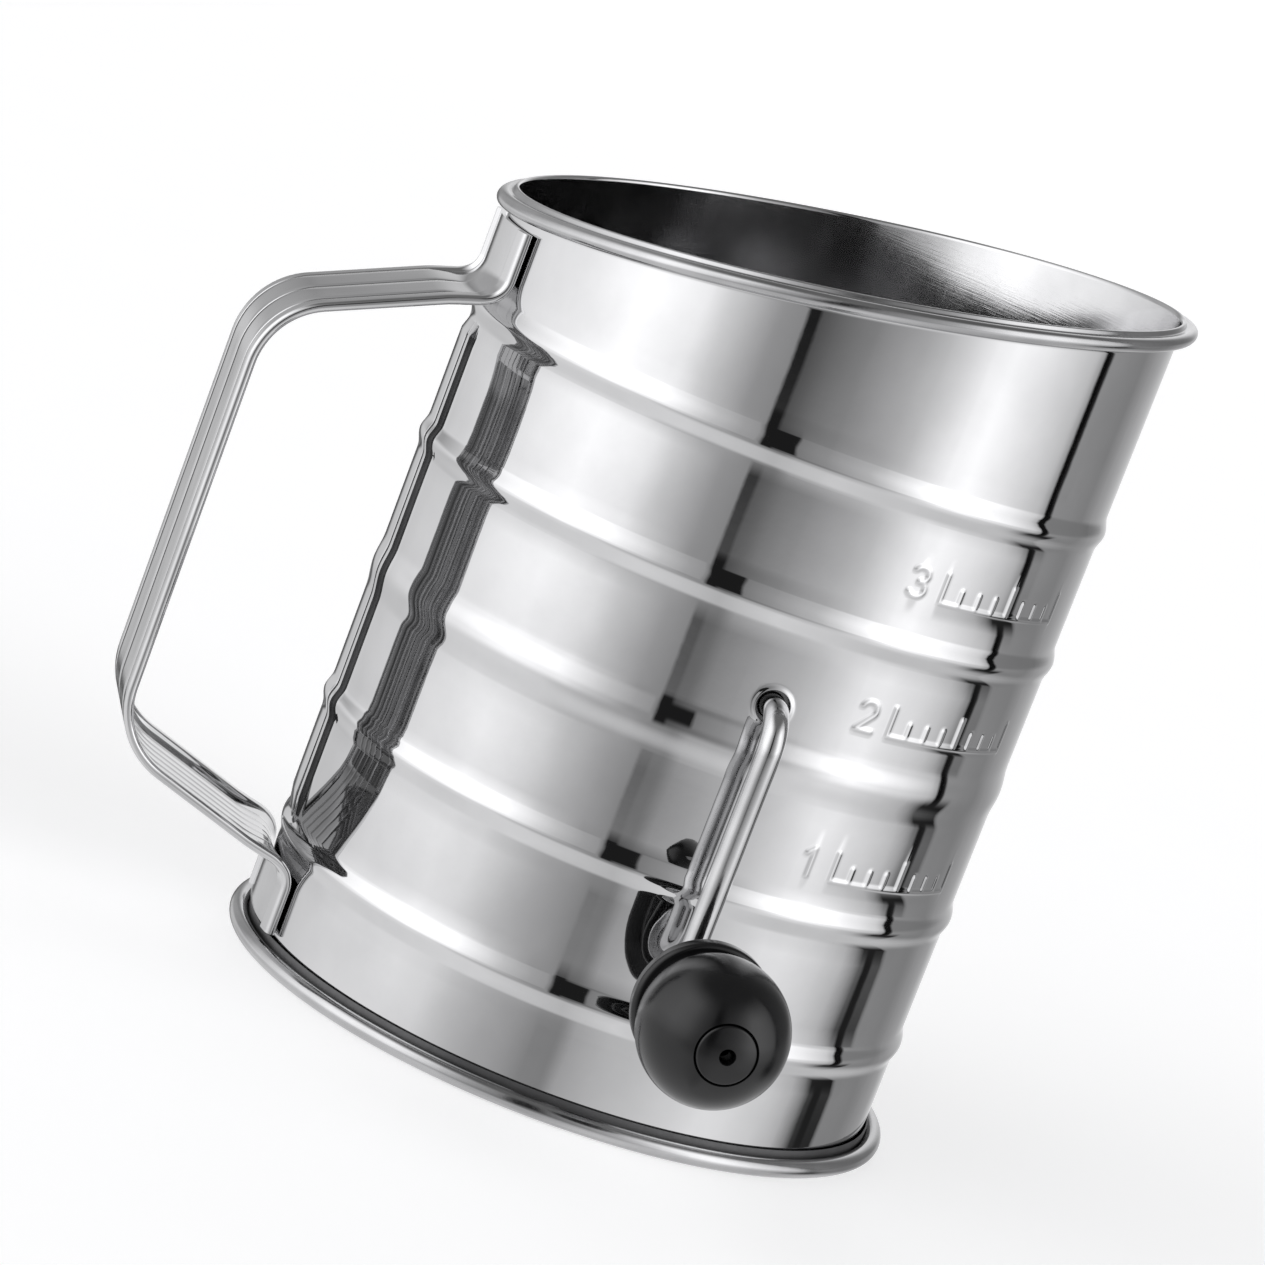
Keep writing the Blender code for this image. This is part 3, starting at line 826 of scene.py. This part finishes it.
# ---------------------------------------------------------------- handle
def handle_half_section():
    """(across, free, seated) points of half the strip, from its middle to its edge and back.

    free is the height on the arms and the grip, and seated the height on the legs, where the
    panel between the lips is pressed down on to the cup.
    """
    top = STRIP_DEPTH / 2
    lip = STRIP_HALF - LIP_WIDTH
    seat_top = STRIP_SHEET - top
    points = []
    for i in range(7):
        across = GROOVE_HALF * i / 6
        dip = GROOVE_DEPTH * 0.5 * (1.0 + math.cos(math.pi * i / 6))
        points.append((across, top - dip, seat_top))
    for i in range(1, 6):
        across = GROOVE_HALF + (lip - 2.0 * GROOVE_HALF) * i / 6
        points.append((across, top, seat_top))
    for i in range(13):
        share = i / 12
        across = lip + GROOVE_HALF * (2.0 * share - 1.0)
        dip = GROOVE_DEPTH * 0.5 * (1.0 - math.cos(math.tau * share))
        points.append((across, top - dip, seat_top + (top - seat_top) * smoothstep(0.15, 1.0, share)))
    start = lip + GROOVE_HALF
    end = STRIP_HALF - top
    for i in range(1, 6):
        across = start + (end - start) * i / 6
        points.append((across, top, top))
    edge = arc((STRIP_HALF - top, 0.0), top, 90.0, -90.0, 14)
    points += [(x, z, z) for x, z in edge]
    hem = lip + 2.0 * GROOVE_HALF
    points += [(end - (end - hem) * i / 3, -top, -top) for i in range(1, 4)]
    under = top - STRIP_SHEET
    for i in range(1, 7):
        share = smoothstep(0.0, 1.0, i / 6)
        points.append((hem - 1.1 * GROOVE_HALF * i / 6, -top + (under + top) * share, -top))
    inner = hem - 1.1 * GROOVE_HALF
    for i in range(1, 49):
        across = inner * (1.0 - i / 48)
        lines = sum(math.exp(-(((across - line) / INNER_LINE_WIDTH) ** 2)) for line in INNER_LINES)
        points.append((across, under - INNER_LINE_HEIGHT * lines, -top))
    return points


def on_inner_side():
    """For each side of the strip's section, whether it faces the cup along the grip, where shade is
    painted.
    """
    right = [(x, free) for x, free, _ in handle_half_section()]
    left = [(x, free) for x, free in reversed(right) if x > 1e-9]
    inside = [free < 0.2 and x < STRIP_HALF - STRIP_DEPTH / 2 for x, free in right + left]
    return [one and two for one, two in zip(inside, inside[1:] + inside[:1])]


def handle_section(place, outward, seated):
    """One section of the strip, bent to the cup's curve where it is seated."""
    seat_r = CUP_R + GAP + STRIP_DEPTH / 2
    right = handle_half_section()
    left = [(-x, free, down) for x, free, down in reversed(right) if x > 1e-9]
    section = []
    for across, free, down in right + left:
        middle = place + outward * (free + (down - free) * seated)
        towards_cup = (seat_r - math.sqrt(seat_r**2 - across**2)) * seated
        section.append((middle.x + towards_cup, across, middle.y))
    return section


def build_handle():
    wall_x = -(CUP_R + GAP + STRIP_DEPTH / 2)
    reach = wall_x - GRIP_X
    grip_high = UPPER_ARM_WALL_Z - UPPER_ARM_SLOPE * reach
    grip_low = LOWER_ARM_WALL_Z + LOWER_ARM_SLOPE * reach
    corners = [
        (wall_x, HANDLE_HIGH.z),
        (wall_x, UPPER_ARM_WALL_Z),
        (GRIP_X, grip_high),
        (GRIP_X, grip_low),
        (wall_x, LOWER_ARM_WALL_Z),
        (wall_x, HANDLE_LOW.z),
    ]
    path = rounded_path(corners, [LEG_CORNER_R, GRIP_CORNER_R, GRIP_CORNER_R, LEG_CORNER_R], 16, 1.2)
    sections = []
    last = len(path) - 1
    for i, place in enumerate(path):
        along = (path[min(i + 1, last)] - path[max(i - 1, 0)]).normalized()
        outward = Vector((along.y, -along.x))
        seated = 1.0 - smoothstep(0.0, SEATED_REACH, wall_x - place.x)
        sections.append(handle_section(place, outward, seated))
    vertices, faces = lofted(sections)
    inside = on_inner_side()
    # Painted shade: the grip's sides that face the cup get the dark grip steel
    looks = []
    for place in path[:-1]:
        on_grip = grip_low < place.y < grip_high
        looks += [1 if on_grip and inner else 0 for inner in inside]
    looks += [0, 0]
    finish_mesh("handle_strip", vertices, faces, [HANDLE_STEEL, GRIP_SHADE_STEEL], "body", ["handle"],
                looks, sharp=50.0)


# ---------------------------------------------------------------- screen
def cloth_point(u, v, side):
    """A point of the cloth at flat coordinates from the bowl's middle, lifted to one side."""
    flat = math.hypot(u, v)
    radius = SCREEN_R + 0.3
    flange_z = SCREEN_FLANGE_TOP - 0.3
    end = math.acos((SHAFT_Z - flange_z) / radius)
    bowl = radius * end
    turn = min(flat, bowl) / radius
    r = radius * math.sin(turn) + side * math.sin(turn)
    z = SHAFT_Z - radius * math.cos(turn) - side * math.cos(turn)
    if flat > bowl:
        r = radius * math.sin(end) + (flat - bowl)
        z = flange_z - side
    if flat < 1e-9:
        return Vector((0.0, 0.0, z))
    return Vector((r * u / flat, r * v / flat, z))


def build_cloth():
    """The woven wire bowl: two families of wires that pass over and under each other."""
    reach = (SCREEN_R + 0.3) * math.acos((SHAFT_Z - SCREEN_FLANGE_TOP) / SCREEN_R) + 3.6
    count = int(reach / CLOTH_PITCH)
    sides = 4
    vertices = []
    faces = []
    for family in (0, 1):
        for line in range(-count, count + 1):
            across = line * CLOTH_PITCH
            half = math.sqrt(max(reach**2 - across**2, 0.0))
            run = int(half / CLOTH_PITCH)
            if run < 1:
                continue
            path = []
            for step in range(-2 * run, 2 * run + 1):
                along = step * CLOTH_PITCH / 2
                weave = 0.0
                if step % 2 == 0:
                    weave = CLOTH_WIRE_R * (1 if (step // 2 + line + family) % 2 else -1)
                u, v = (along, across) if family == 0 else (across, along)
                path.append(cloth_point(u, v, weave))
            first = len(vertices)
            for i, point in enumerate(path):
                ahead = (path[min(i + 1, len(path) - 1)] - path[max(i - 1, 0)]).normalized()
                out = (point - Vector((0.0, 0.0, SHAFT_Z))).normalized()
                cross = ahead.cross(out).normalized()
                out = cross.cross(ahead)
                for s in range(sides):
                    a = math.tau * (s + 0.5) / sides
                    spoke = math.cos(a) * out + math.sin(a) * cross
                    vertices.append(tuple(point + CLOTH_WIRE_R * spoke))
            for i in range(len(path) - 1):
                faces += ring_faces(first + i * sides, first + (i + 1) * sides, sides)
            faces.append(tuple(first + s for s in range(sides)))
            faces.append(tuple(len(vertices) - sides + s for s in range(sides)))
    finish_mesh("wire_cloth", vertices, faces, [CLOTH_STEEL], "body", ["screen"])


def build_screen_rings():
    for node in ("screen_rim", "screen_retainer"):
        low = cup_box(node)[0].z
        outline = rounded_ring(RING_INNER_R, SCREEN_EDGE_R, low, low + RING_HEIGHT, 0.45)
        vertices, faces = revolved(outline, 224)
        finish_mesh(f"{node}_ring", vertices, faces, [STAMPED_STEEL], "body", [node])


# ---------------------------------------------------------------- crank and agitator
def build_crank_rod():
    corners = [
        (ROD_HIGH.y, SHAFT_Z),
        (ARM_Y, SHAFT_Z),
        (ARM_Y, PIN_Z),
        (ROD_LOW.y, PIN_Z),
    ]
    flat = rounded_path(corners, [SHAFT_BEND_R, PIN_BEND_R], 20, 3.0)
    path = [Vector((0.0, point.x, point.y)) for point in flat]
    vertices, faces = lofted(rod_sections(path, ROD_R, 32, Vector((1.0, 0.0, 0.0)), 0.5))
    finish_mesh("crank_bar", vertices, faces, [ROD_STEEL], "crank", ["crank_rod"])


def add_disc(node, radius, thick, edge, place, material):
    """A flat ring on the crank's rod, running forwards from the given place."""
    outline = rounded_ring(BORE_R, radius, 0.0, thick, edge)
    vertices, faces = turned_about_y(outline, 64, place)
    finish_mesh(f"{node}_disc", vertices, faces, [material], "crank", [node])


def build_agitator():
    hubs = {"agitator_hub_front": HUB_LENGTH - HUB_OUTER_Y, "agitator_hub_rear": HUB_OUTER_Y}
    for node, y in hubs.items():
        add_disc(node, HUB_R, HUB_LENGTH, 0.5, (0.0, y, SHAFT_Z), STAMPED_STEEL)
    shaft = Vector((0.0, 0.0, SHAFT_Z))
    first = math.degrees(math.acos((HUB_R - 1.0) / AGITATOR_R))
    profile = arc((0.0, 0.0), AGITATOR_R, -first, first, 72)
    for i in range(AGITATOR_WIRES):
        angle = math.radians(AGITATOR_FIRST_ANGLE) + math.tau * i / AGITATOR_WIRES
        out = Vector((math.cos(angle), 0.0, math.sin(angle)))
        path = [shaft + out * radius + Vector((0.0, y, 0.0)) for radius, y in profile]
        normal = out.cross(Vector((0.0, 1.0, 0.0)))
        vertices, faces = lofted(rod_sections(path, AGITATOR_WIRE_R, 16, normal, 0.3))
        finish_mesh(f"sweep_wire_{i + 1}", vertices, faces, [ROD_STEEL], "crank",
                    [f"agitator_wire_{i + 1}"])


def build_rod_fittings():
    washers = {"front_washer": WASHER_THICK - WASHER_OUTER_Y, "rear_washer": WASHER_OUTER_Y}
    for node, y in washers.items():
        add_disc(node, WASHER_R, WASHER_THICK, 0.25, (0.0, y, SHAFT_Z), WASHER_STEEL)
    stop_y = KNOB_Y - KNOB_BACK + GAP + WASHER_THICK
    add_disc("knob_stop_washer", STOP_WASHER_R, WASHER_THICK, 0.2, (0.0, stop_y, PIN_Z), STAMPED_STEEL)
    retainer_y = KNOB_Y - POCKET_FLOOR - GAP
    add_disc("pin_retainer", RETAINER_R, RETAINER_THICK, 0.2, (0.0, retainer_y, PIN_Z), STAMPED_STEEL)


def build_push_nut():
    """The sprung cap behind the cup: a flange, a dome, and tabs that bite on the rod."""
    segments = 96
    outline = [(NUT_R, 0.0), (NUT_R, 0.35), (NUT_R - 0.25, 0.5), (NUT_R - 0.9, 0.55)]
    outline += [(4.0 - 0.32 * i, 0.6 + 1.15 * math.sin(math.radians(15.0 * i))) for i in range(7)]
    outline += [(BORE_R, NUT_LENGTH - 0.15), (BORE_R, NUT_LENGTH - 0.6)]
    outline += [(3.2, 0.9), (3.9, 0.15), (4.1, 0.0)]
    vertices, faces = revolved(outline, segments)
    shaped = []
    for x, y, z in vertices:
        radius = math.hypot(x, y)
        turn = math.atan2(y, x) * NUT_TABS / math.tau % 1.0
        slot_depth = 0.55 * (1.0 - smoothstep(0.04, 0.09, abs(turn - 0.5)))
        inside = 1.0 - smoothstep(3.2, 3.7, radius)
        lowered = max(z - slot_depth * inside, 0.0)
        shaped.append((x, NUT_START_Y + lowered, SHAFT_Z + y))
    finish_mesh("rear_push_cap", shaped, faces, [STAMPED_STEEL], "crank", ["rear_push_nut"],
                sharp=50.0)


# ---------------------------------------------------------------- knob
def build_knob():
    seam_angle = -math.degrees(math.acos(SEAM_R / KNOB_R))
    mouth_angle = math.degrees(math.acos((POCKET_R + 0.12) / KNOB_R))
    edge = 0.9
    outline = [(KNOB_BORE_R, KNOB_BACK + 0.2), (KNOB_BORE_R + 0.2, KNOB_BACK)]
    outline += arc((NECK_R - 0.5, KNOB_BACK + 0.5), 0.5, -90.0, 0.0, 6)
    outline += arc((NECK_R + edge, FLANGE_BACK - edge), edge, 180.0, 90.0, 8)
    outline += arc((FLANGE_R - edge, FLANGE_BACK + edge), edge, -90.0, 0.0, 8)
    outline += arc((FLANGE_R - edge, FLANGE_FRONT - edge), edge, 0.0, 90.0, 8)
    outline += [(SEAM_R - 0.15, FLANGE_FRONT + 0.02), (SEAM_R - 0.35, FLANGE_FRONT + 0.22)]
    outline += arc((0.0, 0.0), KNOB_R, seam_angle, mouth_angle, 56)
    outline += [(POCKET_R + 0.02, 10.35), (POCKET_R, 10.2), (POCKET_R, 6.0), (POCKET_R, POCKET_FLOOR)]
    outline += [(KNOB_BORE_R, POCKET_FLOOR)]
    vertices, faces = turned_about_y(outline, 128, (0.0, KNOB_Y, PIN_Z))
    finish_mesh("ball_knob", vertices, faces, [BLACK], "knob", ["knob"], sharp=45.0)

    dome_start = math.degrees(math.acos((PLUG_R - 0.15) / KNOB_R))
    dome_end = math.degrees(math.acos((PLUG_HOLE_R + 0.12) / KNOB_R))
    plug = [(PLUG_HOLE_R, PLUG_BACK), (PLUG_R, PLUG_BACK), (PLUG_R, 10.3), (PLUG_R - 0.03, 10.45)]
    plug += arc((0.0, 0.0), KNOB_R, dome_start, dome_end, 14)
    plug += [(PLUG_HOLE_R + 0.02, 11.3), (PLUG_HOLE_R, 11.1)]
    vertices, faces = turned_about_y(plug, 96, (0.0, KNOB_Y, PIN_Z))
    finish_mesh("nose_plug", vertices, faces, [BLACK], "knob", ["knob_plug"],
                sharp=45.0)


# ---------------------------------------------------------------- studio
STEEL_SHINE = 0.62  # share of light that the polished steel gives back

# Brightness of the studio as the steel shows it, by angle round the cup in degrees
WALL_UP = (
    (-180, 0.2), (-170, 0.3), (-150, 0.3), (-122, 0.7), (-104, 0.95), (-79, 1.2), (-58, 1.05),
    (-46, 0.72), (-38, 0.5), (-28, 0.33), (-21.2, 0.27), (-20.8, 0.01), (-8.2, 0.01), (-7.8, 0.17),
    (3, 0.26), (20, 0.45), (28, 0.65), (36, 0.88), (46, 1.2), (60, 1.15), (78, 0.82), (88, 0.6),
    (91.5, 0.4), (92, 0.005), (96, 0.005), (96.5, 0.18), (125, 0.14), (140, 0.2), (158, 0.6),
    (168, 0.6), (180, 0.2),
)
WALL_LEVEL = (
    (-180, 0.14), (-176.5, 0.02), (-172, 0.42), (-125, 0.7), (-104, 0.8), (-88, 0.92), (-76, 1.02),
    (-54, 0.83), (-46, 0.59), (-29, 0.27), (-21, 0.23), (-20.6, 0.01), (-16.2, 0.01), (-15.8, 0.07),
    (-8, 0.13), (3, 0.205), (20, 0.362), (28, 0.47), (36, 0.645), (45, 0.87), (53, 0.96), (88, 0.47),
    (91.6, 0.3), (92, 0.003), (95.6, 0.003), (96, 0.24), (118, 0.185), (150, 0.4), (165, 0.6),
    (173, 0.35), (176, 0.02), (180, 0.14),
)
WALL_LOW = (
    (-180, 0.16), (-176.5, 0.03), (-172, 0.4), (-135, 0.5), (-104, 0.62), (-76, 0.66), (-62, 0.6),
    (-54, 0.5), (-46, 0.43), (-38, 0.36), (-28, 0.29), (-20, 0.21), (-12, 0.19), (-7, 0.32), (3, 0.4),
    (20, 0.49), (45, 0.67), (54, 0.65), (69, 0.54), (80, 0.4), (86, 0.2), (90, 0.015), (102, 0.01),
    (103, 0.2), (120, 0.18), (140, 0.25), (165, 0.6), (172, 0.45), (175, 0.03), (180, 0.16),
)
FLOOR_GLOW = ((-180, 0.55), (-50, 0.6), (-14, 0.42), (10, 0.58), (100, 0.45), (180, 0.55))
CEILING = 0.13


def add_world():
    world = bpy.data.worlds.new("studio")
    bpy.context.scene.world = world
    world.use_nodes = True
    tree = world.node_tree
    background = tree.nodes["Background"]

    def math_node(operation, *values):
        node = tree.nodes.new("ShaderNodeMath")
        node.operation = operation
        for socket, value in zip(node.inputs, values):
            if isinstance(value, (int, float)):
                socket.default_value = value
            else:
                tree.links.new(value, socket)
        return node.outputs[0]

    direction = tree.nodes.new("ShaderNodeTexCoord")
    split = tree.nodes.new("ShaderNodeSeparateXYZ")
    tree.links.new(direction.outputs["Generated"], split.inputs[0])
    around = math_node("ARCTAN2", split.outputs["X"], math_node("MULTIPLY", split.outputs["Y"], -1.0))
    around = math_node("MULTIPLY_ADD", around, 1.0 / math.tau, 0.5)
    upward = math_node("MULTIPLY", math_node("ARCSINE", split.outputs["Z"]), 180.0 / math.pi)

    def ramp(stops):
        node = tree.nodes.new("ShaderNodeValToRGB")
        elements = node.color_ramp.elements
        while len(elements) < len(stops):
            elements.new(0.5)
        for element, (angle, brightness) in zip(elements, stops):
            element.position = angle / 360.0 + 0.5
            level = brightness / 1.5
            element.color = (level, level, level * 1.01, 1.0)
        tree.links.new(around, node.inputs["Fac"])
        return node.outputs["Color"]

    def blend(below, above, start, end):
        """Changes from one colour to the other as the direction rises from start to end degrees."""
        share = tree.nodes.new("ShaderNodeMapRange")
        share.interpolation_type = "SMOOTHSTEP"
        share.inputs["From Min"].default_value = start
        share.inputs["From Max"].default_value = end
        tree.links.new(upward, share.inputs["Value"])
        mix = tree.nodes.new("ShaderNodeMix")
        mix.data_type = "RGBA"
        tree.links.new(share.outputs["Result"], mix.inputs["Factor"])
        tree.links.new(below, mix.inputs[6])
        if isinstance(above, float):
            mix.inputs[7].default_value = (above, above, above, 1.0)
        else:
            tree.links.new(above, mix.inputs[7])
        return mix.outputs[2]

    colour = blend(ramp(FLOOR_GLOW), ramp(WALL_LOW), -34.0, -17.0)
    colour = blend(colour, ramp(WALL_LEVEL), -17.0, -4.5)
    colour = blend(colour, ramp(WALL_UP), -4.0, 4.0)
    colour = blend(colour, CEILING / 1.5, 34.0, 66.0)
    tree.links.new(colour, background.inputs["Color"])
    background.inputs["Strength"].default_value = 1.5 / STEEL_SHINE


def add_floor():
    """A pale sweep: a round floor that curves up into a wall on every side."""
    reach = 2.2
    rise = 0.6
    outline = [(0.0, 0.0)] + [(reach * i / 8, 0.0) for i in range(1, 9)]
    outline += [(reach + x, rise + z) for x, z in arc((0.0, 0.0), rise, -90.0, 0.0, 16)[1:]]
    outline.append((reach + rise, 4.0))
    segments = 128
    bm = bmesh.new()
    centre = bm.verts.new((0.0, 0.0, 0.0))
    rings = []
    for radius, height in outline[1:]:
        turns = [math.tau * i / segments for i in range(segments)]
        rings.append([bm.verts.new((radius * math.cos(a), radius * math.sin(a), height)) for a in turns])
    for i in range(segments):
        j = (i + 1) % segments
        bm.faces.new((centre, rings[0][i], rings[0][j]))
        for low, high in zip(rings, rings[1:]):
            bm.faces.new((low[i], high[i], high[j], low[j]))
    mesh = bpy.data.meshes.new("studio_floor")
    bm.to_mesh(mesh)
    bm.free()
    mesh.shade_smooth()
    floor = bpy.data.objects.new("studio_floor", mesh)
    bpy.context.scene.collection.objects.link(floor)
    n = Nodes("pale_floor")
    n.shader.inputs["Roughness"].default_value = 0.9
    n.shader.inputs["Specular IOR Level"].default_value = 0.1
    tone = n.noise(n.position(), 60.0, 3.0)
    n.link(n.mixed(tone, (0.86, 0.86, 0.865), (0.88, 0.88, 0.885)), n.shader.inputs["Base Color"])
    n.shader.inputs["Emission Color"].default_value = (1.0, 1.0, 1.0, 1.0)
    n.shader.inputs["Emission Strength"].default_value = 0.45
    mesh.materials.append(n.material)
    floor.visible_glossy = False
    floor.visible_diffuse = False
    floor.visible_shadow = False


# Camera, in the cup's frame
CAMERA_AZIMUTH = math.radians(-13.80)
CAMERA_ELEVATION = math.radians(9.94)
CAMERA_ROLL = math.radians(20.89)
CAMERA_DISTANCE = 700.0
CAMERA_SIDE = -11.01
CAMERA_HEIGHT = 66.54
CAMERA_LENS = 121.5


def add_camera():
    back = Vector((
        math.sin(CAMERA_AZIMUTH) * math.cos(CAMERA_ELEVATION),
        -math.cos(CAMERA_AZIMUTH) * math.cos(CAMERA_ELEVATION),
        math.sin(CAMERA_ELEVATION),
    ))
    right = Vector((math.cos(CAMERA_AZIMUTH), math.sin(CAMERA_AZIMUTH), 0.0))
    up = back.cross(right)
    target = right * CAMERA_SIDE + Vector((0.0, 0.0, CAMERA_HEIGHT))
    x_axis = math.cos(CAMERA_ROLL) * right + math.sin(CAMERA_ROLL) * up
    y_axis = back.cross(x_axis)
    turn = Matrix((x_axis, y_axis, back)).transposed().to_4x4()
    data = bpy.data.cameras.new("camera")
    data.lens = CAMERA_LENS
    data.sensor_width = 36.0
    data.clip_start = 0.01
    data.clip_end = 50.0
    camera = bpy.data.objects.new("camera", data)
    camera.matrix_world = Matrix.Translation(CUP_AXIS + (target + back * CAMERA_DISTANCE) * MM) @ turn
    bpy.context.scene.collection.objects.link(camera)
    bpy.context.scene.camera = camera


build_cup()
build_base_ring()
build_handle()
build_cloth()
build_screen_rings()
build_crank_rod()
build_agitator()
build_rod_fittings()
build_push_nut()
build_knob()
add_world()
add_floor()
add_camera()
bpy.context.scene.view_settings.view_transform = "Standard"
